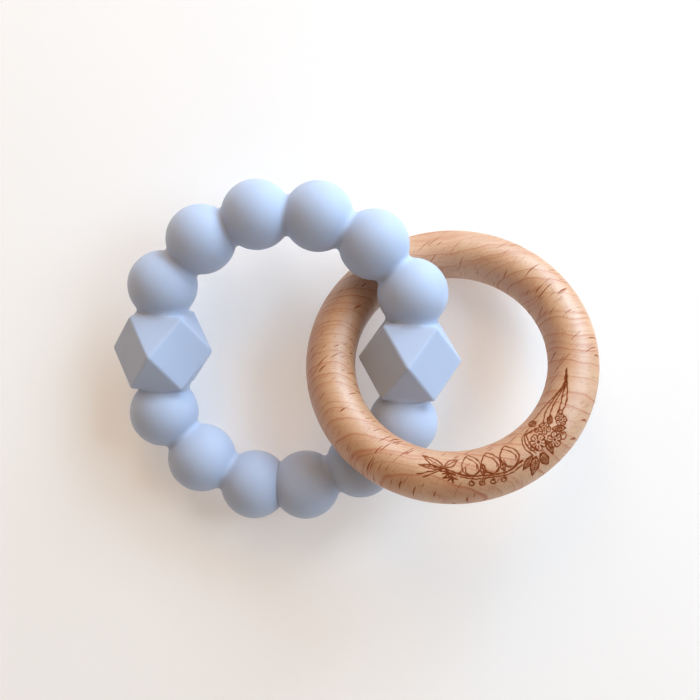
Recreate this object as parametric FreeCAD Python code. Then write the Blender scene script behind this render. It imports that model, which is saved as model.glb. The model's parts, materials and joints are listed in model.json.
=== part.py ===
"""Teething ring: a soft silicone bead ring linked through a turned wooden ring, lying at rest.

Millimetres, +Z up, the table is Z = 0. +X runs from the silicone ring to the wooden ring.
Each ring is designed flat about its own axis, then tilted and set down where it rests.
"""
import FreeCAD
import Part
import math
import os

from FreeCAD import Placement, Rotation, Vector

# Silicone bead ring, designed flat in its own plane with its axis along Z
BEAD_DIAMETER = 17.0
BEAD_CIRCLE_RADIUS = 34.5           # ring centre to the centre of a round bead
BEAD_PITCH = 24.95                  # degrees between neighbouring round beads
JOINT_PITCH = 21.9                  # degrees across the closing joint, which is pulled tight
NECK_FILLET = 1.2                   # moulded fillet in the notch between two beads
FACETED_CIRCLE_RADIUS = 30.8        # the two many-faced beads sit further in
FACETED_CORNER_RADIUS = 12.4        # centre of a many-faced bead to its corners
FACETED_ROUNDING = 0.8              # softened edges of the many-faced beads
FACETED_NECK_FILLET = 0.7
CREASE_SEARCH_RADIUS = 2.0          # a neck's crease circle is centred nearer than this to its middle
FIRST_ANGLE = 178.2                 # where the left many-faced bead stands on the ring
STRAND_PULL_IN = 1.6                # the tight joint draws the strand beside it inwards
PULL_IN_SHARES = (0.75, 1.0, 0.6)   # of that, on each round bead up to the joint
FACETED_PULL_IN_SHARE = 0.25        # and on the many-faced bead before them
BEAD_BEFORE_JOINT = 10              # the joint follows this bead, counted from the first as 0

# Closing joint: a moulded peg in a moulded socket, with a thin cured bond all round it
PEG_RADIUS = 2.5
PEG_LENGTH = 7.0
BOND_THICKNESS = 0.3

# Wooden ring
WOOD_OUTER_DIAMETER = 70.0
WOOD_THICKNESS = 12.0

# How the two rings lie on the table, in degrees; TOWARDS is the heading that a ring leans to
SILICONE_TILT = 10.1
SILICONE_TILT_TOWARDS = -115.3
WOOD_TILT = 24.8
WOOD_TILT_TOWARDS = 101.2
WOOD_OFFSET_X = 40.0                # wooden ring's centre from the silicone ring's centre
WOOD_OFFSET_Y = -1.5

# Worked out from the above
BEAD_RADIUS = BEAD_DIAMETER / 2
FACETED_PITCH = (360 - 10 * BEAD_PITCH) / 4
JOINT_SLACK = (BEAD_PITCH - JOINT_PITCH) / 3
WOOD_CENTRE_RADIUS = (WOOD_OUTER_DIAMETER - WOOD_THICKNESS) / 2


def at(angle, radius):
    """A point in the ring's plane, from its heading and its distance from the axis."""
    return Vector(radius * math.cos(math.radians(angle)), radius * math.sin(math.radians(angle)), 0)


def bead_places():
    """Heading and radius of each bead, clockwise from the left many-faced bead."""
    places = [("faceted", FIRST_ANGLE, FACETED_CIRCLE_RADIUS)]
    angle = FIRST_ANGLE - FACETED_PITCH
    for _ in range(6):
        places.append(("round", angle, BEAD_CIRCLE_RADIUS))
        angle -= BEAD_PITCH
    angle -= FACETED_PITCH - BEAD_PITCH
    places.append(("faceted", angle, FACETED_CIRCLE_RADIUS - FACETED_PULL_IN_SHARE * STRAND_PULL_IN))
    angle -= FACETED_PITCH + JOINT_SLACK
    for share in PULL_IN_SHARES:
        places.append(("round", angle, BEAD_CIRCLE_RADIUS - share * STRAND_PULL_IN))
        angle -= BEAD_PITCH + JOINT_SLACK
    angle += BEAD_PITCH + JOINT_SLACK - JOINT_PITCH
    for _ in range(3):
        places.append(("round", angle, BEAD_CIRCLE_RADIUS))
        angle -= BEAD_PITCH
    return places


def round_bead(angle, radius):
    """A ball, its poles on the upper and lower side, clear of the necks."""
    return Part.makeSphere(BEAD_RADIUS, at(angle, radius))


def faceted_bead(angle, radius):
    """A cuboctahedron with softened edges, two square faces across the strand."""
    core_radius = FACETED_CORNER_RADIUS - FACETED_ROUNDING
    half = core_radius / math.sqrt(2)
    along = [Vector(0, 1, 0), Vector(0, -1, 0)]
    across = [Vector(1, 0, 0), Vector(0, 0, 1), Vector(-1, 0, 0), Vector(0, 0, -1)]
    rim = [direction * core_radius for direction in across]
    ends = []
    for end in along:
        ends.append([end * half + (across[i] + across[(i + 1) % 4]) * (core_radius / 2)
                     for i in range(4)])
    faces = []
    for square in ends:
        faces.append(square)
        for i in range(4):
            faces.append([rim[(i + 1) % 4], square[i], square[(i + 1) % 4]])
    for i in range(4):
        faces.append([rim[i], ends[0][i], rim[(i + 1) % 4], ends[1][i]])
    shell = Part.makeShell([Part.Face(Part.makePolygon(face + face[:1])) for face in faces])
    core = Part.makeSolid(shell)
    bead = core.makeOffsetShape(FACETED_ROUNDING, 0.001, False, False, 0, 0)
    bead.rotate(Vector(0, 0, 0), Vector(0, 0, 1), angle)
    bead.translate(at(angle, radius))
    return bead


def neighbours(places, same_kind):
    """Pairs of neighbouring beads of one kind or of two, without the pair at the closing joint."""
    pairs = []
    for i, place in enumerate(places):
        next_place = places[(i + 1) % len(places)]
        if i != BEAD_BEFORE_JOINT and (place[0] == next_place[0]) == same_kind:
            pairs.append((place, next_place))
    return pairs


def crease_edges(ring, pairs):
    """The circle edges where neighbouring beads run into each other."""
    found = []
    for place, next_place in pairs:
        middle = (at(place[1], place[2]) + at(next_place[1], next_place[2])) * 0.5
        for edge in ring.Edges:
            if edge.Degenerated or not isinstance(edge.Curve, Part.Circle):
                continue
            offset = (edge.Curve.Center - middle).Length
            if offset < CREASE_SEARCH_RADIUS and edge.Curve.Radius > CREASE_SEARCH_RADIUS:
                found.append(edge)
    return found


def closed_bead_ring(places):
    """All the beads run together, with a fillet in every notch but the closing joint's."""
    beads = []
    for kind, angle, radius in places:
        make = round_bead if kind == "round" else faceted_bead
        beads.append(make(angle, radius))
    ring = beads[0].multiFuse(beads[1:]).Solids[0]
    round_creases = crease_edges(ring, neighbours(places, same_kind=True))
    ring = ring.makeFillet(NECK_FILLET, round_creases).Solids[0]
    faceted_creases = crease_edges(ring, neighbours(places, same_kind=False))
    return ring.makeFillet(FACETED_NECK_FILLET, faceted_creases).Solids[0]


def bond_space(places):
    """The room for the bond: a thin disc between the two ends and a sleeve round the peg."""
    start = at(*places[BEAD_BEFORE_JOINT][1:])
    end = at(*places[BEAD_BEFORE_JOINT + 1][1:])
    middle = (start + end) * 0.5
    along = (end - start).normalize()
    face = middle - along * (BOND_THICKNESS / 2)
    disc = Part.makeCylinder(BEAD_RADIUS, BOND_THICKNESS, face, along)
    socket = Part.makeCylinder(PEG_RADIUS + BOND_THICKNESS, PEG_LENGTH + BOND_THICKNESS, face, along)
    peg = Part.makeCylinder(PEG_RADIUS, PEG_LENGTH, face, along)
    return disc.fuse(socket).cut(peg)


def wooden_ring():
    """One turned ring, round in section."""
    return Part.makeTorus(WOOD_CENTRE_RADIUS, WOOD_THICKNESS / 2)


def lean(tilt, towards):
    """The turn that leans a flat ring's axis by tilt degrees towards a heading."""
    heading = math.radians(towards)
    return Rotation(Vector(-math.sin(heading), math.cos(heading), 0), tilt)


def set_down(shapes, turn, x, y):
    """Turn the pieces of one ring about its centre and lower them until they touch the table."""
    turned = Part.makeCompound(shapes)
    turned.Placement = Placement(Vector(0, 0, 0), turn)
    height = -turned.optimalBoundingBox(False).ZMin
    for shape in shapes:
        shape.Placement = Placement(Vector(x, y, height), turn)
    return height


def build():
    """The pieces by node name, with the origin under the middle of the whole object."""
    places = bead_places()
    ring = closed_bead_ring(places)
    space = bond_space(places)
    strand = ring.cut(space).Solids[0]
    bond = ring.common(space).Solids[0]
    wood = wooden_ring()
    silicone_height = set_down([strand, bond], lean(SILICONE_TILT, SILICONE_TILT_TOWARDS), 0, 0)
    wood_turn = lean(WOOD_TILT, WOOD_TILT_TOWARDS)
    wood_height = set_down([wood], wood_turn, WOOD_OFFSET_X, WOOD_OFFSET_Y)
    nodes = {"silicone_bead_strand": strand, "joint_bond": bond, "wooden_ring": wood}
    box = Part.makeCompound(list(nodes.values())).optimalBoundingBox(False)
    to_middle = Vector(-box.Center.x, -box.Center.y, 0)
    for shape in nodes.values():
        shape.translate(to_middle)
    print("size", box.XLength, box.YLength, box.ZLength)
    print("silicone ring centre", Vector(0, 0, silicone_height) + to_middle)
    print("wooden ring centre", Vector(WOOD_OFFSET_X, WOOD_OFFSET_Y, wood_height) + to_middle)
    print("wooden ring axis", wood_turn.multVec(Vector(0, 0, 1)))
    return nodes


os.makedirs("parts", exist_ok=True)
for name, solid in build().items():
    print(name, solid.ShapeType, solid.isValid(), round(solid.Volume, 1))
    solid.exportStep("parts/" + name + ".step")
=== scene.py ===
"""Looks of the teething ring: powder-blue silicone bead ring linked through an engraved beech ring."""
import bpy
import bmesh
import json
import math
import numpy as np
from mathutils import Matrix, Vector
from mathutils.kdtree import KDTree


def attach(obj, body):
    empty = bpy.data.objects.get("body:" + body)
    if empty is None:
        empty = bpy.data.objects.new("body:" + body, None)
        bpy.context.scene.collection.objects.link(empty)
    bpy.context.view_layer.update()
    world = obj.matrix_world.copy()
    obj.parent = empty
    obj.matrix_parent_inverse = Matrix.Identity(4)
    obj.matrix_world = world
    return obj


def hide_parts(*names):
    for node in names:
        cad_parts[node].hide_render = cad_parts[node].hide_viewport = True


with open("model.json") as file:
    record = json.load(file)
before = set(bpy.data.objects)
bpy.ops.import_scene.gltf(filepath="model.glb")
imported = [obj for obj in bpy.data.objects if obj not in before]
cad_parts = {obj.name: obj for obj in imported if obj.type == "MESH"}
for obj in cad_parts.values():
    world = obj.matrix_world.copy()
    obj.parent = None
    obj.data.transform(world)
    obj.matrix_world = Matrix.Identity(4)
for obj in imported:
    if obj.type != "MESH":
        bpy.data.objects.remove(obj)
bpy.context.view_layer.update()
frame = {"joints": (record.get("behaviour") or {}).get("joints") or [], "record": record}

MM = 0.001
UP = np.array((0.0, 0.0, 1.0))

# The silicone ring's shape, as in the CAD source, with angles in degrees
BEAD_RADIUS = 8.5 * MM
BEAD_CIRCLE_RADIUS = 34.5 * MM
BEAD_PITCH = 24.95
JOINT_PITCH = 21.9
FACETED_CIRCLE_RADIUS = 30.8 * MM
FACETED_CORNER_RADIUS = 12.4 * MM
FACETED_ROUNDING = 0.8 * MM
FIRST_ANGLE = 178.2
STRAND_PULL_IN = 1.6 * MM
PULL_IN_SHARES = (0.75, 1.0, 0.6)
FACETED_PULL_IN_SHARE = 0.25
BEAD_BEFORE_JOINT = 10
FACETED_PITCH = (360 - 10 * BEAD_PITCH) / 4
JOINT_SLACK = (BEAD_PITCH - JOINT_PITCH) / 3

# How the moulding's notches and edges are softened
ROUND_NECK_BLEND = 1.6 * MM
FACETED_NECK_BLEND = 2.0 * MM
JOINT_CREASE_BLEND = 0.15 * MM
EDGE_SHARPNESS = 7.0 / MM
SILICONE_VOXEL = 0.25 * MM

# The wooden ring, and the fine patch of its mesh that carries the drawing, in degrees and metres
WOOD_CENTRE_RADIUS = 29.0 * MM
WOOD_TUBE_RADIUS = 6.0 * MM
ENGRAVED_FROM = -118.0
ENGRAVED_TO = 6.0
ENGRAVED_SIDE_FROM = 22.0
ENGRAVED_SIDE_TO = 168.0
FINE_STEP = 0.11 * MM
COARSE_STEP = 0.7 * MM
GROOVE_DEPTH = 0.08 * MM
SPRIG_START = -112.0

# The drawing, in mm along the ring from SPRIG_START and across it
DRAWN_FROM = -4.0
DRAWN_TO = 60.0
DRAWN_HALF_WIDTH = 8.0
DOT_SPACING = 0.05
HAND_WOBBLE = 0.05
EDGE_SOFTNESS = 0.05
SCORCH_REACH = 0.35
OUTLINE = 0.125                     # half widths of its lines
VEIN = 0.09
BOLD = 0.17
LINE_UNEVENNESS = 0.28              # share of a line's half width
SCORCH = 0.22                       # how brown the halo beside a line is, where a line is 1

# Silicone: colours, and noise scales per mm
SILICONE_BLUE = (0.465, 0.560, 0.745)
BOND_SHADE = 0.8
MOTTLE_SHADE = 0.93
MOTTLE_STRENGTH = 0.9
MOTTLE_SCALE = 0.10
GLOSS_PATCH_SCALE = 0.35
MOULD_GRAIN_SCALE = 9.0
LINT_SCALE = 0.16
LINT_SIZE = 0.018
LINT_DARK_SHARE = 0.62
LINT_SHADE = 0.55
LINT_PALE = (0.86, 0.87, 0.88)
LINT_STRENGTH = 0.55

# Beech: how the ring was cut out of the tree, as directions in the row frame
ACROSS_RAYS = (0.61, -0.51, 0.61)
ACROSS_LAYERS = (0.0, 0.79, -0.61)
LAYER_RISE = (0.0, 0.9, -0.7)       # nearly along ACROSS_LAYERS, and 1.14 long

# Beech: the bends of its layers and the years in them, in mm, with noise scales per mm
LAYER_TWIST = 0.017
WANDER = 5.0
WANDER_SCALE = 0.06
WAVER = 0.6
WAVER_SCALE = 0.25
YEAR_WIDTH = 3.7
YEAR_UNEVENNESS = 3.2
YEAR_UNEVEN_SCALE = 0.16
YEAR_NOISE_STEP = 3.7
YEAR_LINE_BOOST = 1.3
YEAR_LINE_PROFILE = ((0.0, 0.0), (0.60, 0.0), (0.86, 0.30), (0.92, 1.0), (0.97, 0.25), (1.0, 0.0))
FINE_LINES_PER_YEAR = 3.0
FINE_LINE_PROFILE = ((0.0, 0.0), (0.6, 0.15), (0.85, 1.0), (1.0, 0.0))
FINE_PATCH_SCALE = 0.11
FINE_PATCH_EDGE = ((0.42, 0.0), (0.58, 1.0))

# Beech: marks drawn out along the grain, as noise scales per mm of layer, of fibre and of ray
STREAK_SCALES = (2.6, 0.30, 2.6)
FLECK_SCALES = (1.5, 0.50, 3.0)
FLECK_EDGE = ((0.55, 0.0), (0.68, 1.0))
DASH_SCALES = (0.22, 0.21, 2.5)
DASH_CROWD_SCALE = 0.09
DASH_CROWDING = 0.24
DASH_EDGE = ((0.0, 0.0), (0.797, 0.0), (0.835, 1.0), (1.0, 1.0))
PORE_SCALES = (9.0, 1.1, 9.0)

# Beech: colours
PALE_BEECH = (0.685, 0.415, 0.232)
WARM_BEECH = (0.595, 0.330, 0.168)
BROAD_SCALE = 0.07
BROAD_EDGE = ((0.35, 0.0), (0.65, 1.0))
STREAK_TAN = (0.395, 0.172, 0.064)
FLECK_BROWN = (0.400, 0.125, 0.040)
FINE_LINE_BROWN = (0.460, 0.140, 0.036)
YEAR_LINE_BROWN = (0.420, 0.095, 0.018)
DASH_BROWN = (0.270, 0.060, 0.016)
SCORCHED_BROWN = (0.380, 0.115, 0.032)
SCORCH_BOOST = 2.2
CHARRED_DARK = (0.115, 0.018, 0.005)
CHARRED_LIGHT = (0.215, 0.042, 0.010)
CHAR_SCALE = 1.3

# Table top: half its width in metres, and its own faint glow, which is dimmer near the rings
TABLE_HALF = 12.0
TABLE_COLOUR = (0.78, 0.80, 0.81)
NEAR_GLOW = (0.260, 0.234, 0.215)
FAR_GLOW = (0.640, 0.665, 0.690)
GLOW_FADES_FROM = 150.0             # distances from the middle in mm
GLOW_FADES_TO = 900.0

# Camera above the table, looking down
CAMERA_PLACE = Vector((0.0039, 0.0056, 0.2512))
CAMERA_TARGET = Vector((-0.0004, 0.0004, 0.0))
CAMERA_LENS = 49.75
CAMERA_SENSOR = 36.0

# Light colours, and the rise at which the pale wall fades into the dim room above
COOL = (0.62, 0.82, 1.0)
WARM = (1.0, 0.68, 0.42)
ROOM = (0.290, 0.190, 0.112)
PALE_WALL = (0.86, 0.80, 0.74)
WALL_FADES_FROM = 0.10
WALL_FADES_TO = 0.30


def lean_to(axis):
    """The shortest turn from straight up to an axis."""
    return Vector((0, 0, 1)).rotation_difference(Vector(axis)).to_matrix()


record = frame["record"]
silicone_mount = next(mount for mount in record["mounts"] if mount["name"] == "silicone_ring_strap_loop")
turn_joint = next(joint for joint in frame["joints"] if joint["name"] == "wooden_ring_turn")
silicone_centre = Vector(silicone_mount["pos_m"])
silicone_turn = lean_to(silicone_mount["axis"])
wood_centre = Vector(turn_joint["pos_m"])
wood_turn = lean_to(turn_joint["axis"])


# ---------------------------------------------------------------- meshes

def link(name, data):
    """A new object in the scene for a mesh, a light or a camera."""
    piece = bpy.data.objects.new(name, data)
    bpy.context.scene.collection.objects.link(piece)
    return piece


def shade_smooth(mesh):
    mesh.polygons.foreach_set("use_smooth", np.ones(len(mesh.polygons), bool))


def vertex_array(mesh):
    points = np.zeros(len(mesh.vertices) * 3, np.float32)
    mesh.vertices.foreach_get("co", points)
    return points.reshape(-1, 3).astype(float)


def place_vertices(mesh, points, turn, centre):
    """Write local points into a mesh, turned and moved to their place in the row frame."""
    placed = points @ np.array(turn).T + np.array(centre)
    mesh.vertices.foreach_set("co", placed.astype(np.float32).ravel())
    mesh.update()


# ---------------------------------------------------------------- silicone ring

def bead_places():
    """Kind, heading and distance from the axis of each bead, clockwise from the left faceted one."""
    places = [("faceted", FIRST_ANGLE, FACETED_CIRCLE_RADIUS)]
    angle = FIRST_ANGLE - FACETED_PITCH
    for _ in range(6):
        places.append(("round", angle, BEAD_CIRCLE_RADIUS))
        angle -= BEAD_PITCH
    angle -= FACETED_PITCH - BEAD_PITCH
    places.append(("faceted", angle, FACETED_CIRCLE_RADIUS - FACETED_PULL_IN_SHARE * STRAND_PULL_IN))
    angle -= FACETED_PITCH + JOINT_SLACK
    for share in PULL_IN_SHARES:
        places.append(("round", angle, BEAD_CIRCLE_RADIUS - share * STRAND_PULL_IN))
        angle -= BEAD_PITCH + JOINT_SLACK
    angle += BEAD_PITCH + JOINT_SLACK - JOINT_PITCH
    for _ in range(3):
        places.append(("round", angle, BEAD_CIRCLE_RADIUS))
        angle -= BEAD_PITCH
    return places


def bead_frame(place):
    """Centre, outward and along directions of a bead in the ring's own plane."""
    heading = math.radians(place[1])
    outward = np.array((math.cos(heading), math.sin(heading), 0.0))
    along = np.array((-math.sin(heading), math.cos(heading), 0.0))
    return outward * place[2], outward, along


def round_bead_distance(points, place):
    """How far points are outside a round bead."""
    centre = bead_frame(place)[0]
    return np.linalg.norm(points - centre, axis=1) - BEAD_RADIUS


def faceted_planes(outward, along):
    """Face directions and distances of a cuboctahedron with square faces across the strand."""
    core = FACETED_CORNER_RADIUS - FACETED_ROUNDING
    square = core / math.sqrt(2) + FACETED_ROUNDING
    triangle = core * math.sqrt(2 / 3) + FACETED_ROUNDING
    planes = [(along, square), (-along, square)]
    for side in (1, -1):
        for rise in (1, -1):
            planes.append(((outward * side + UP * rise) / math.sqrt(2), square))
    for end in (1, -1):
        for corner in (outward, -outward, UP, -UP):
            planes.append((corner * math.sqrt(2 / 3) + along * end * math.sqrt(1 / 3), triangle))
    return planes


def faceted_bead_distance(points, place):
    """How far points are outside a many-faced bead, its edges softened by a smooth maximum."""
    centre, outward, along = bead_frame(place)
    planes = faceted_planes(outward, along)
    heights = np.stack([(points - centre) @ facing - distance for facing, distance in planes])
    top = heights.max(axis=0)
    return top + np.log(np.exp((heights - top) * EDGE_SHARPNESS).sum(axis=0)) / EDGE_SHARPNESS


def round_union(a, b, blend):
    """The union of two shapes with a rounded inner corner of that radius."""
    corner = np.hypot(np.maximum(blend - a, 0), np.maximum(blend - b, 0))
    return np.maximum(blend, np.minimum(a, b)) - corner


def strand_distance(points, places):
    """How far points are outside the whole moulding."""
    each = []
    for place in places:
        measure = round_bead_distance if place[0] == "round" else faceted_bead_distance
        each.append(measure(points, place))
    nearest = None
    for i, place in enumerate(places):
        after = (i + 1) % len(places)
        blend = ROUND_NECK_BLEND if place[0] == places[after][0] else FACETED_NECK_BLEND
        if i == BEAD_BEFORE_JOINT:
            blend = JOINT_CREASE_BLEND
        pair = round_union(each[i], each[after], blend)
        nearest = pair if nearest is None else np.minimum(nearest, pair)
    return nearest


def settle_on_surface(points, places, rounds=6):
    """Move points along the slope of the distance until they lie on the moulding's surface."""
    step = 0.01 * MM
    for _ in range(rounds):
        here = strand_distance(points, places)
        slope = np.stack([(strand_distance(points + step * unit, places) - here) / step
                          for unit in np.eye(3)], axis=1)
        steepness = np.maximum((slope ** 2).sum(axis=1, keepdims=True), 0.1)
        points = points - here[:, None] * slope / steepness
    return points


def add_faceted_blank(bm, place):
    """The plain many-faced shape, as a start for the remesh."""
    centre, outward, along = bead_frame(place)
    radius = FACETED_CORNER_RADIUS
    rim = [outward, UP, -outward, -UP]
    corners = [centre + radius * direction for direction in rim]
    for end in (1, -1):
        for i in range(4):
            offset = (rim[i] + rim[(i + 1) % 4]) * (radius / 2)
            corners.append(centre + along * (end * radius / math.sqrt(2)) + offset)
    verts = [bm.verts.new(Vector(corner)) for corner in corners]
    bmesh.ops.convex_hull(bm, input=verts)


def silicone_strand():
    """The one-piece moulding: blanks remeshed together, then settled on the exact surface."""
    places = bead_places()
    bm = bmesh.new()
    for place in places:
        if place[0] == "faceted":
            add_faceted_blank(bm, place)
        else:
            centre = Matrix.Translation(Vector(bead_frame(place)[0]))
            bmesh.ops.create_icosphere(bm, subdivisions=4, radius=BEAD_RADIUS, matrix=centre)
    mesh = bpy.data.meshes.new("silicone_bead_ring")
    bm.to_mesh(mesh)
    bm.free()
    piece = link("silicone_bead_ring", mesh)
    remesh = piece.modifiers.new("remesh", "REMESH")
    remesh.mode = "VOXEL"
    remesh.voxel_size = SILICONE_VOXEL
    evaluated = piece.evaluated_get(bpy.context.evaluated_depsgraph_get())
    fine = bpy.data.meshes.new_from_object(evaluated)
    piece.modifiers.clear()
    piece.data = fine
    bpy.data.meshes.remove(mesh)
    fine.name = "silicone_bead_ring"
    points = settle_on_surface(vertex_array(fine), places)
    place_vertices(fine, points, silicone_turn, silicone_centre)
    shade_smooth(fine)
    return piece


def joint_crease():
    """Middle, direction and radius of the crease where the two ends of the strand meet."""
    places = bead_places()
    start = bead_frame(places[BEAD_BEFORE_JOINT])[0]
    end = bead_frame(places[BEAD_BEFORE_JOINT + 1])[0]
    half = np.linalg.norm(end - start) / 2
    return (start + end) / 2, (end - start) / (2 * half), math.sqrt(BEAD_RADIUS ** 2 - half ** 2)


def bond_line(around=160, across=10, thickness=0.22 * MM):
    """The thin line of cured bond that shows in the closing joint's crease."""
    middle, along, radius = joint_crease()
    side = np.cross(along, UP)
    mesh = bpy.data.meshes.new("joint_bond_line")
    points = []
    for i in range(around):
        turn = 2 * math.pi * i / around
        outward = side * math.cos(turn) + UP * math.sin(turn)
        for j in range(across):
            roll = 2 * math.pi * j / across
            points.append(middle + outward * (radius + thickness * math.cos(roll))
                          + along * (thickness * math.sin(roll)))
    faces = [(i * across + j, (i + 1) % around * across + j,
              (i + 1) % around * across + (j + 1) % across, i * across + (j + 1) % across)
             for i in range(around) for j in range(across)]
    mesh.from_pydata(points, [], faces)
    place_vertices(mesh, np.array(points), silicone_turn, silicone_centre)
    shade_smooth(mesh)
    return link("joint_bond_line", mesh)


# ---------------------------------------------------------------- wooden ring

def spaced(first, last, length, fine_from, fine_to):
    """Angles in radians between two in degrees, close together in one stretch and wide elsewhere."""
    angles = []
    angle = first
    while angle < last:
        angles.append(angle)
        step = FINE_STEP if fine_from <= angle <= fine_to else COARSE_STEP
        angle += math.degrees(step / length)
    if last - angles[-1] < math.degrees(0.5 * FINE_STEP / length):
        angles.pop()
    return np.radians(angles)


def smooth_path(points, per_span=24):
    """Points along a smooth curve through a few given ones."""
    points = [np.array(p, float) for p in points]
    padded = [2 * points[0] - points[1], *points, 2 * points[-1] - points[-2]]
    path = []
    for before, start, end, after in zip(padded, padded[1:], padded[2:], padded[3:]):
        square = 2 * before - 5 * start + 4 * end - after
        cube = 3 * start - before - 3 * end + after
        for k in range(per_span):
            t = k / per_span
            path.append(0.5 * (2 * start + (end - before) * t + square * t ** 2 + cube * t ** 3))
    return np.array([*path, points[-1]])


def leaf(base, tip, width, veins=4, line=OUTLINE):
    """An almond leaf: two bowed sides, a midrib and a few veins. Lengths in mm."""
    base, tip = np.array(base, float), np.array(tip, float)
    length = np.linalg.norm(tip - base)
    ahead = (tip - base) / length
    across = np.array((-ahead[1], ahead[0]))
    t = np.linspace(0, 1, 30)
    bow = np.sin(math.pi * t ** 0.85) * width / 2
    spine = base + np.outer(t, tip - base)
    strokes = [(spine + np.outer(bow, across), line), (spine - np.outer(bow, across), line),
               (spine[2:-3], VEIN)]
    for k in range(veins):
        start = base + ahead * length * (0.2 + 0.55 * k / veins)
        reach = math.sin(math.pi * (0.3 + 0.5 * k / veins)) * width * 0.40
        for side in (1, -1):
            end = start + ahead * reach * 0.8 + across * side * reach
            strokes.append((np.array([start, end]), VEIN))
    return strokes


def bud(foot, lean, height=5.4, width=4.3):
    """A plump rounded bud standing on the stem, with a folded petal and a short calyx. Lengths in mm."""
    foot = np.array(foot, float)
    ahead = np.array((math.sin(lean), math.cos(lean)))
    across = np.array((ahead[1], -ahead[0]))
    t = np.linspace(0, 1, 36)
    bow = np.sin(math.pi * t ** 0.8) ** 0.75 * width / 2
    spine = foot + np.outer(t * height, ahead)
    strokes = [(spine + np.outer(bow, across), OUTLINE), (spine - np.outer(bow, across), OUTLINE)]
    fold = foot + np.outer(t[8:34] * height, ahead) + np.outer(0.30 * width * np.sin(4.0 * t[8:34]), across)
    strokes.append((fold, VEIN))
    for side in (1, -1):
        sepal = [foot, foot + 0.16 * height * ahead + side * 0.30 * width * across,
                 foot + 0.42 * height * ahead + side * 0.33 * width * across]
        strokes.append((smooth_path(sepal), VEIN))
    return strokes


def berry(centre, radius):
    """A small round berry with a highlight arc."""
    turn = np.linspace(0, 2 * math.pi, 26)
    ring = np.array(centre) + radius * np.stack([np.cos(turn), np.sin(turn)], axis=1)
    inner = np.array(centre) + 0.5 * radius * np.stack([np.cos(turn[2:8]), np.sin(turn[2:8])], axis=1)
    return [(ring, OUTLINE), (inner, VEIN)]


def blossom(centre, radius, petals=5, turned=0.3):
    """An open flower: rounded petals about a dark middle."""
    strokes = []
    centre = np.array(centre, float)
    half = math.pi / petals
    for k in range(petals):
        facing = turned + 2 * half * k
        t = np.linspace(-1, 1, 18)
        spread = facing + t * half * 0.98
        reach = radius * (0.42 + 0.58 * np.sqrt(np.maximum(1 - t ** 4, 0)))
        edge = centre + np.stack([np.cos(spread), np.sin(spread)], axis=1) * reach[:, None]
        strokes.append((edge, OUTLINE))
        tip = centre + 0.75 * radius * np.array((math.cos(facing), math.sin(facing)))
        strokes.append((np.array([centre + (tip - centre) * 0.45, tip]), VEIN))
    strokes.append((np.array([centre, centre + 0.05]), 0.26 * radius))
    return strokes


def tuft(centre, size, count=7):
    """A tight tuft of short dark strokes."""
    centre = np.array(centre, float)
    strokes = []
    for k in range(count):
        facing = math.pi * (0.75 + 1.1 * k / (count - 1))
        reach = size * (1.0 if k % 2 else 0.72)
        tip = centre + reach * np.array((math.cos(facing), 0.75 * math.sin(facing)))
        strokes.append((np.array([centre, tip]), BOLD))
    return strokes


def stalk(points, line=OUTLINE):
    """A drawn line along a smooth curve."""
    return (smooth_path(points), line)


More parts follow.
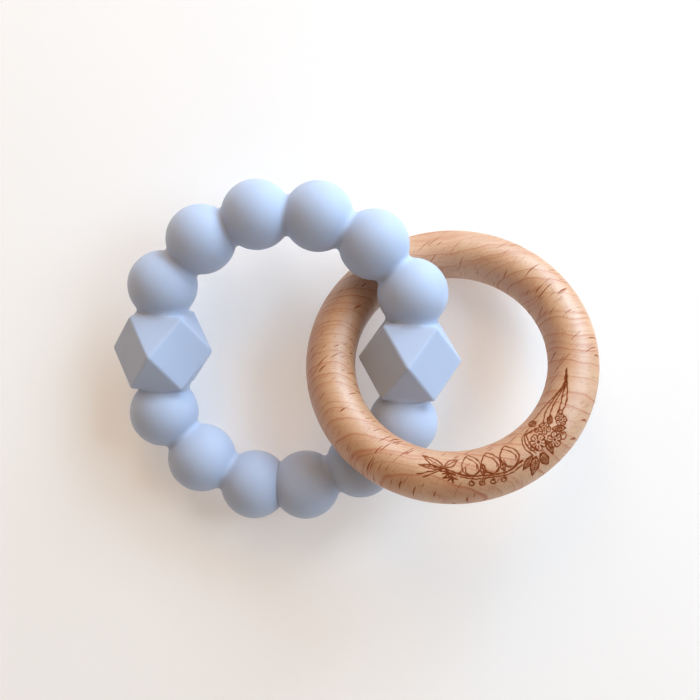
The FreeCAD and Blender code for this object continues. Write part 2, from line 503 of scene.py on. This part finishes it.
def sprig():
    """The drawing, in mm: first number along the ring, second across it towards the middle."""
    strokes = []
    # A fan of narrow leaves at the near end of the stem
    strokes += leaf((9.2, 3.1), (3.7, 5.4), 1.7, veins=0)
    strokes += leaf((9.0, 3.0), (3.5, 2.8), 0.9, veins=0)
    strokes.append(stalk([(9.2, 2.9), (6.5, 1.9), (3.5, 0.5)]))
    strokes.append(stalk([(8.6, 2.5), (6.4, 1.2), (5.0, 0.2)]))
    strokes += leaf((9.3, 3.3), (12.4, 5.3), 1.6, veins=0)
    strokes += tuft((10.4, 2.0), 2.1)
    strokes += tuft((10.9, 0.9), 1.6, count=5)
    # The stem, drawn double, with three buds above and berries below
    stem = [(9.2, 3.1), (10.8, 2.4), (14.1, 1.2), (17.3, 0.7), (22.5, -0.1), (26.4, 0.6)]
    strokes.append(stalk(stem, BOLD))
    strokes.append(stalk([(12.8, 1.1), (16.0, 0.2), (19.5, -0.2), (23.0, -0.8), (26.0, -0.2)]))
    strokes += bud((15.6, 1.0), -0.10)
    strokes += bud((19.9, 0.5), -0.04)
    strokes += bud((24.2, 0.3), 0.05)
    strokes += leaf((17.6, 0.8), (18.0, 3.2), 1.1, veins=2)
    strokes += leaf((22.0, 0.3), (22.3, 2.8), 1.1, veins=2)
    for x, y in ((14.9, -0.6), (17.0, -0.9), (19.2, -1.2), (21.4, -1.5)):
        strokes += berry((x, y), 0.5)
        strokes.append(stalk([(x + 0.1, y + 0.5), (x + 0.5, y + 1.3)], VEIN))
    # The cluster: blossoms and leaves about a point two thirds along
    for step in (0.0, 0.8, 1.6):
        strokes.append(stalk([(28.9 + step, 0.2), (28.3 + step, 2.6), (29.4 + step, 4.8),
                              (32.0 + step, 5.6 - step)]))
    strokes += blossom((31.6, 1.7), 1.9)
    strokes += blossom((34.6, -0.6), 1.7, turned=0.9)
    strokes += blossom((35.0, 2.9), 1.4, turned=0.1)
    strokes += blossom((38.9, 0.9), 1.3, turned=0.5)
    strokes += blossom((34.2, 6.0), 1.0, turned=0.7)
    strokes += leaf((29.2, -0.4), (27.0, -3.9), 1.9, veins=5, line=BOLD)
    strokes += leaf((30.4, -0.6), (30.7, -4.0), 1.7, veins=5, line=BOLD)
    strokes += leaf((28.6, 0.2), (25.7, -1.4), 1.3, veins=4, line=BOLD)
    strokes += leaf((33.0, 0.8), (32.6, -2.6), 1.3, veins=4, line=BOLD)
    strokes += leaf((36.0, 1.4), (38.2, -1.0), 1.2, veins=4)
    strokes += leaf((36.4, 2.6), (38.6, 3.6), 1.1, veins=4, line=BOLD)
    for x, y, size in ((36.6, -1.6, 0.75), (33.4, 4.0, 0.5), (37.0, 0.0, 0.5), (29.6, 1.4, 0.45),
                       (40.4, 1.9, 0.45)):
        strokes += berry((x, y), size)
    # Long thin stalks drawn together to a point
    tip = (51.6, 3.1)
    strokes.append(stalk([(34.8, 6.4), (39.5, 6.2), (44.0, 4.6), (47.5, 3.3), tip]))
    strokes.append(stalk([(35.8, 3.9), (39.0, 5.0), (43.5, 4.4), (47.4, 3.1), tip]))
    strokes.append(stalk([(37.4, 3.4), (41.0, 4.1), (44.6, 3.6), (47.4, 3.0), tip]))
    strokes.append(stalk([(38.4, 2.2), (42.0, 2.6), (45.0, 3.0), (47.4, 2.8), tip]))
    strokes.append(stalk([(40.0, 1.6), (43.0, 1.6), (46.0, 2.2), (48.4, 2.7), tip]))
    strokes.append(stalk([(46.0, 3.2), (47.6, 2.6), (48.6, 3.2), tip], BOLD))
    return strokes


def stroke_tree():
    """Every stroke cut into close points, to look up how near a place is to a line."""
    dots = []
    for path, line in sprig():
        for start, end in zip(path[:-1], path[1:]):
            count = max(1, int(np.linalg.norm(end - start) / DOT_SPACING))
            for k in range(count):
                dots.append((start + (end - start) * k / count, line))
        dots.append((path[-1], line))
    tree = KDTree(len(dots))
    for i, (dot, _) in enumerate(dots):
        tree.insert((dot[0], dot[1], 0), i)
    tree.balance()
    return tree, [line for _, line in dots]


def burn_amounts(around, over):
    """0 to 1 at each mesh point: how deep the drawing is burnt there."""
    tree, lines = stroke_tree()
    up_here = np.array(wood_turn.transposed() @ Vector((0, 0, 1)))
    along = (around - math.radians(SPRIG_START)) * WOOD_CENTRE_RADIUS / MM
    rise = up_here[0] * np.cos(around) + up_here[1] * np.sin(around)
    highest = np.arctan2(up_here[2], rise)
    across = (over - highest) * WOOD_TUBE_RADIUS / MM
    along, across = (along + HAND_WOBBLE * np.sin(4.1 * across + 1.3 * along),
                     across + HAND_WOBBLE * np.sin(3.7 * along - 2.2 * across))
    uneven = np.sin(2.9 * along + 1.9 * across) * np.sin(2.3 * across - 1.7 * along + 0.6)
    outside = np.full(len(around), 1.0)
    near = (along > DRAWN_FROM) & (along < DRAWN_TO) & (np.abs(across) < DRAWN_HALF_WIDTH)
    for i in np.nonzero(near)[0]:
        _, dot, distance = tree.find((along[i], across[i], 0))
        outside[i] = distance - lines[dot] * (1 + LINE_UNEVENNESS * uneven[i])
    core = np.clip(0.5 - outside / (2 * EDGE_SOFTNESS), 0, 1)
    halo = np.clip(1 - outside / SCORCH_REACH, 0, 1) ** 2
    return np.maximum(core * core * (3 - 2 * core), SCORCH * halo)


def wooden_ring():
    """The turned ring as one closed grid, fine where the drawing is cut into it."""
    turns = spaced(ENGRAVED_TO - 360, ENGRAVED_TO, WOOD_CENTRE_RADIUS + WOOD_TUBE_RADIUS,
                   ENGRAVED_FROM, ENGRAVED_TO)
    rolls = spaced(ENGRAVED_SIDE_FROM, ENGRAVED_SIDE_FROM + 360, WOOD_TUBE_RADIUS,
                   ENGRAVED_SIDE_FROM, ENGRAVED_SIDE_TO)
    around, over = [grid.ravel() for grid in np.meshgrid(turns, rolls, indexing="ij")]
    burn = burn_amounts(around, over)
    tube = WOOD_TUBE_RADIUS - GROOVE_DEPTH * burn
    reach = WOOD_CENTRE_RADIUS + tube * np.cos(over)
    points = np.stack([reach * np.cos(around), reach * np.sin(around), tube * np.sin(over)], axis=1)
    count, row = len(turns), len(rolls)
    i, j = [grid.ravel() for grid in np.meshgrid(np.arange(count), np.arange(row), indexing="ij")]
    next_i, next_j = (i + 1) % count, (j + 1) % row
    faces = np.stack([i * row + j, next_i * row + j, next_i * row + next_j, i * row + next_j], axis=1)
    mesh = bpy.data.meshes.new("beech_ring")
    mesh.from_pydata(points.tolist(), [], faces.tolist())
    place_vertices(mesh, points, wood_turn, wood_centre)
    shade_smooth(mesh)
    mesh.attributes.new("burn", "FLOAT", "POINT").data.foreach_set("value", burn.astype(np.float32))
    return link("beech_ring", mesh)


# ---------------------------------------------------------------- materials

def node(tree, kind, inputs=None, **settings):
    """Add a shader node: settings are its properties, inputs are numbers, colours or links."""
    made = tree.nodes.new(kind)
    for name, value in settings.items():
        setattr(made, name, value)
    for name, value in (inputs or {}).items():
        if isinstance(value, bpy.types.NodeSocket):
            tree.links.new(value, made.inputs[name])
        else:
            made.inputs[name].default_value = value
    return made


def maths(tree, operation, a, b=0.0, c=0.0, clamp=False):
    return node(tree, "ShaderNodeMath", {0: a, 1: b, 2: c}, operation=operation, use_clamp=clamp).outputs[0]


def times(tree, a, b, clamp=False):
    return maths(tree, "MULTIPLY", a, b, clamp=clamp)


def plus(tree, a, b, clamp=False):
    return maths(tree, "ADD", a, b, clamp=clamp)


def distance_along(tree, vector, direction):
    """How far a vector reaches along a direction."""
    made = node(tree, "ShaderNodeVectorMath", {0: vector, 1: tuple(direction)}, operation="DOT_PRODUCT")
    return made.outputs["Value"]


def combine(tree, x, y, z):
    return node(tree, "ShaderNodeCombineXYZ", {0: x, 1: y, 2: z}).outputs[0]


def noise(tree, vector, scale, detail):
    made = node(tree, "ShaderNodeTexNoise", {"Vector": vector, "Scale": scale, "Detail": detail})
    return made.outputs["Fac"]


def ramp(tree, factor, stops):
    """A colour ramp through (position, colour) stops."""
    made = node(tree, "ShaderNodeValToRGB", {"Fac": factor})
    elements = made.color_ramp.elements
    while len(elements) < len(stops):
        elements.new(0.5)
    for element, (position, colour) in zip(elements, stops):
        element.position = position
        element.color = (*colour, 1)
    return made.outputs["Color"]


def fade(tree, factor, stops):
    """A ramp of greys through (position, brightness) stops."""
    return ramp(tree, factor, [(position, (brightness,) * 3) for position, brightness in stops])


def mix_colour(tree, factor, a, b):
    """Mix two colours: the node's colour sockets are inputs 6 and 7 and output 2."""
    made = node(tree, "ShaderNodeMix", {0: factor}, data_type="RGBA")
    for name, value in ((6, a), (7, b)):
        if isinstance(value, bpy.types.NodeSocket):
            tree.links.new(value, made.inputs[name])
        else:
            made.inputs[name].default_value = (*value, 1)
    return made.outputs[2]


def bump(tree, shader, height, strength, depth, sockets):
    """Raise the surface by a height from 0 to 1, in the shader's given normal sockets."""
    made = node(tree, "ShaderNodeBump", {"Strength": strength, "Distance": depth, "Height": height})
    for name in sockets:
        tree.links.new(made.outputs[0], shader.inputs[name])


def set_inputs(shader, values):
    """Numbers and colours that are the same all over, on the shader's own sockets."""
    for name, value in values.items():
        shader.inputs[name].default_value = value


def shaded(colour, share):
    return tuple(share * channel for channel in colour)


def new_material(name):
    """A material, its tree, its shader, and the place on the object in millimetres."""
    material = bpy.data.materials.new(name)
    material.use_nodes = True
    tree = material.node_tree
    shader = tree.nodes["Principled BSDF"]
    place = node(tree, "ShaderNodeTexCoord").outputs["Object"]
    millimetres = node(tree, "ShaderNodeVectorMath", {0: place, "Scale": 1 / MM}, operation="SCALE")
    return material, tree, shader, millimetres.outputs[0]


def with_lint(tree, place, base, colour):
    """A few specks of lint on the silicone, some pale and some dark."""
    cells = node(tree, "ShaderNodeTexVoronoi", {"Vector": place, "Scale": LINT_SCALE})
    near = maths(tree, "LESS_THAN", cells.outputs["Distance"], LINT_SIZE)
    tone = node(tree, "ShaderNodeSeparateColor", {0: cells.outputs["Color"]}).outputs[0]
    pale = maths(tree, "GREATER_THAN", tone, LINT_DARK_SHARE)
    speck = mix_colour(tree, pale, shaded(colour, LINT_SHADE), LINT_PALE)
    return mix_colour(tree, times(tree, near, LINT_STRENGTH), base, speck)


def silicone_material(name, colour, lint):
    """Matte powder-blue silicone: fine moulded texture, faint mottling and a few specks of lint."""
    material, tree, shader, place = new_material(name)
    mottle = noise(tree, place, MOTTLE_SCALE, 3.0)
    base = mix_colour(tree, times(tree, mottle, MOTTLE_STRENGTH), colour, shaded(colour, MOTTLE_SHADE))
    if lint:
        base = with_lint(tree, place, base, colour)
    tree.links.new(base, shader.inputs["Base Color"])
    patches = noise(tree, place, GLOSS_PATCH_SCALE, 3.0)
    tree.links.new(maths(tree, "MULTIPLY_ADD", patches, 0.10, 0.50), shader.inputs["Roughness"])
    set_inputs(shader, {"Specular IOR Level": 0.32, "Sheen Weight": 0.12, "Sheen Roughness": 0.45,
                        "Subsurface Weight": 0.22, "Subsurface Radius": (1.0, 0.85, 0.75),
                        "Subsurface Scale": 1.3 * MM})
    bump(tree, shader, noise(tree, place, MOULD_GRAIN_SCALE, 2.0), 0.20, 0.02 * MM, ["Normal"])
    return material


def grain_ways(tree, place):
    """Distances along the wood's own directions, in mm: layers laid flat, layers as grown, fibre, rays."""
    across_rays = Vector(ACROSS_RAYS).normalized()
    across_layers = Vector(ACROSS_LAYERS).normalized()
    fibre = distance_along(tree, place, across_layers.cross(across_rays).normalized())
    ray = distance_along(tree, place, across_rays)
    along_x = distance_along(tree, place, (1, 0, 0))
    along_z = distance_along(tree, place, (0, 0, 1))
    twist = times(tree, times(tree, along_x, along_z), LAYER_TWIST)
    flat = plus(tree, distance_along(tree, place, LAYER_RISE), twist)
    grown = plus(tree, flat, times(tree, noise(tree, place, WANDER_SCALE, 2.0), WANDER))
    grown = plus(tree, grown, times(tree, noise(tree, place, WAVER_SCALE, 1.0), WAVER))
    return flat, grown, fibre, ray


def grain_noise(tree, ways, scales, detail):
    """Noise drawn out along the grain: scales are per mm of layer, of fibre and of ray."""
    place = combine(tree, *[times(tree, way, scale) for way, scale in zip(ways, scales)])
    return noise(tree, place, 1.0, detail)


def growth_lines(tree, place, grown, fibre):
    """The dark late wood that ends each year's layer, and fine lines between in some patches."""
    uneven = noise(tree, combine(tree, times(tree, grown, YEAR_UNEVEN_SCALE), 0.0, 0.0), 1.0, 2.0)
    years = plus(tree, maths(tree, "DIVIDE", grown, YEAR_WIDTH), times(tree, uneven, YEAR_UNEVENNESS))
    year_line = fade(tree, maths(tree, "FRACT", years), YEAR_LINE_PROFILE)
    which_year = times(tree, maths(tree, "FLOOR", years), YEAR_NOISE_STEP)
    strength = noise(tree, combine(tree, which_year, times(tree, fibre, 0.05), 0.0), 1.0, 1.0)
    year_line = times(tree, year_line, times(tree, strength, YEAR_LINE_BOOST), clamp=True)
    within = maths(tree, "FRACT", times(tree, years, FINE_LINES_PER_YEAR))
    patch = fade(tree, noise(tree, place, FINE_PATCH_SCALE, 1.0), FINE_PATCH_EDGE)
    return year_line, times(tree, fade(tree, within, FINE_LINE_PROFILE), patch)


def ray_dashes(tree, place, flat, fibre, ray):
    """Short dark dashes where the wood's rays come to the surface, crowded in places."""
    dashes = grain_noise(tree, (flat, fibre, ray), DASH_SCALES, 1.0)
    crowd = times(tree, noise(tree, place, DASH_CROWD_SCALE, 1.0), DASH_CROWDING)
    return fade(tree, plus(tree, dashes, crowd), DASH_EDGE)


def beech_material():
    """Sanded beech: bent growth layers, short ray dashes, fine fibre and the burnt drawing."""
    material, tree, shader, place = new_material("beech")
    middle = tuple(wood_centre / MM)
    place = node(tree, "ShaderNodeVectorMath", {0: place, 1: middle}, operation="SUBTRACT").outputs[0]
    flat, grown, fibre, ray = grain_ways(tree, place)
    ways = (grown, fibre, ray)
    year_line, fine_line = growth_lines(tree, place, grown, fibre)
    streaks = grain_noise(tree, ways, STREAK_SCALES, 3.0)
    fleck = fade(tree, grain_noise(tree, ways, FLECK_SCALES, 3.0), FLECK_EDGE)
    dash = ray_dashes(tree, place, flat, fibre, ray)
    burn = node(tree, "ShaderNodeAttribute", attribute_name="burn").outputs["Fac"]
    scorched = times(tree, burn, SCORCH_BOOST, clamp=True)

    broad = fade(tree, noise(tree, place, BROAD_SCALE, 2.0), BROAD_EDGE)
    base = mix_colour(tree, broad, PALE_BEECH, WARM_BEECH)
    for amount, strength, colour in ((streaks, 0.58, STREAK_TAN), (fleck, 0.50, FLECK_BROWN),
                                     (fine_line, 0.58, FINE_LINE_BROWN), (year_line, 0.90, YEAR_LINE_BROWN),
                                     (dash, 0.84, DASH_BROWN), (scorched, 0.60, SCORCHED_BROWN)):
        base = mix_colour(tree, times(tree, amount, strength), base, colour)
    charred = mix_colour(tree, noise(tree, place, CHAR_SCALE, 2.0), CHARRED_DARK, CHARRED_LIGHT)
    base = mix_colour(tree, times(tree, maths(tree, "POWER", burn, 1.6), 0.94), base, charred)
    tree.links.new(base, shader.inputs["Base Color"])

    rough = plus(tree, maths(tree, "MULTIPLY_ADD", streaks, 0.14, 0.45), times(tree, burn, 0.30), clamp=True)
    tree.links.new(rough, shader.inputs["Roughness"])
    dry = maths(tree, "MAXIMUM", maths(tree, "MAXIMUM", scorched, dash), times(tree, year_line, 0.6))
    oiled = maths(tree, "SUBTRACT", 1.0, dry, clamp=True)
    tree.links.new(oiled, shader.inputs["Coat Weight"])
    set_inputs(shader, {"Coat Roughness": 0.53, "Coat IOR": 2.12, "Specular IOR Level": 0.06,
                        "Sheen Weight": 0.03, "Sheen Roughness": 0.50,
                        "Subsurface Weight": 0.05, "Subsurface Radius": (1.0, 0.6, 0.35),
                        "Subsurface Scale": 0.8 * MM})
    relief = maths(tree, "SUBTRACT", grain_noise(tree, ways, PORE_SCALES, 2.0), times(tree, dash, 0.5))
    bump(tree, shader, relief, 0.60, 0.05 * MM, ["Normal", "Coat Normal"])
    return material


def floor_material():
    """A plain pale table top that stays close to white, also far from the lights."""
    material, tree, shader, place = new_material("pale_table")
    away = node(tree, "ShaderNodeVectorMath", {0: place}, operation="LENGTH").outputs["Value"]
    far = node(tree, "ShaderNodeMapRange", {"Value": away, "From Min": GLOW_FADES_FROM,
                                            "From Max": GLOW_FADES_TO}).outputs[0]
    tree.links.new(mix_colour(tree, far, NEAR_GLOW, FAR_GLOW), shader.inputs["Emission Color"])
    set_inputs(shader, {"Emission Strength": 1.0, "Base Color": (*TABLE_COLOUR, 1), "Roughness": 0.9,
                        "Specular IOR Level": 0.1})
    return material


# ---------------------------------------------------------------- stage

def floor():
    """A wide plain table top at the height that the rings lie on."""
    mesh = bpy.data.meshes.new("table_top")
    corners = [(x * TABLE_HALF, y * TABLE_HALF, 0) for x, y in ((-1, -1), (1, -1), (1, 1), (-1, 1))]
    mesh.from_pydata(corners, [], [(0, 1, 2, 3)])
    top = link("table_top", mesh)
    mesh.materials.append(floor_material())


def area_light(name, heading, elevation, distance, size, power, colour):
    """A soft square light aimed at the rings from a heading and a height above the table."""
    lamp = bpy.data.lights.new(name, "AREA")
    lamp.size = size
    lamp.energy = power
    lamp.color = colour
    piece = link(name, lamp)
    turn, rise = math.radians(heading), math.radians(elevation)
    place = Vector((math.cos(turn) * math.cos(rise), math.sin(turn) * math.cos(rise), math.sin(rise)))
    piece.location = place * distance
    piece.rotation_euler = (-place).to_track_quat("-Z", "Y").to_euler()


def lights():
    """Cool window light from the right, a warm lamp from the top, a warm room round them."""
    area_light("window", heading=57, elevation=21, distance=0.9, size=0.50, power=8.4, colour=COOL)
    area_light("window_side", heading=15, elevation=40, distance=0.9, size=0.45, power=3.7, colour=COOL)
    area_light("sky_low", heading=300, elevation=40, distance=1.1, size=0.90, power=0.9, colour=COOL)
    area_light("lamp", heading=100, elevation=40, distance=0.9, size=0.45, power=2.2, colour=WARM)
    world = bpy.data.worlds.new("studio")
    world.use_nodes = True
    tree = world.node_tree
    way = node(tree, "ShaderNodeTexCoord").outputs["Generated"]
    rise = node(tree, "ShaderNodeSeparateXYZ", {0: way}).outputs["Z"]
    walls = ramp(tree, rise, [(0.0, PALE_WALL), (WALL_FADES_FROM, PALE_WALL),
                              (WALL_FADES_TO, ROOM), (1.0, ROOM)])
    tree.links.new(walls, tree.nodes["Background"].inputs["Color"])
    bpy.context.scene.world = world


def camera():
    """Looks almost straight down on the table, as one looks at a toy laid flat."""
    lens = bpy.data.cameras.new("camera")
    lens.lens = CAMERA_LENS
    lens.sensor_width = CAMERA_SENSOR
    lens.clip_start = 10 * MM
    piece = link("camera", lens)
    back = (CAMERA_PLACE - CAMERA_TARGET).normalized()
    right = Vector((0, 1, 0)).cross(back).normalized()
    turn = Matrix((right, back.cross(right), back)).transposed()
    piece.matrix_world = Matrix.Translation(CAMERA_PLACE) @ turn.to_4x4()
    bpy.context.scene.camera = piece


def add_piece(piece, body, stands_for, material):
    """Dress a finished piece, hang it on its body and let it stand for its CAD node."""
    piece.data.materials.clear()
    piece.data.materials.append(material)
    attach(piece, body)
    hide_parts(stands_for)


bpy.context.scene.view_settings.view_transform = "Standard"
add_piece(silicone_strand(), "silicone_ring", "silicone_bead_strand",
          silicone_material("blue_silicone", SILICONE_BLUE, lint=True))
add_piece(bond_line(), "silicone_ring", "joint_bond",
          silicone_material("blue_bond", shaded(SILICONE_BLUE, BOND_SHADE), lint=False))
add_piece(wooden_ring(), "wooden_ring", "wooden_ring", beech_material())
floor()
lights()
camera()
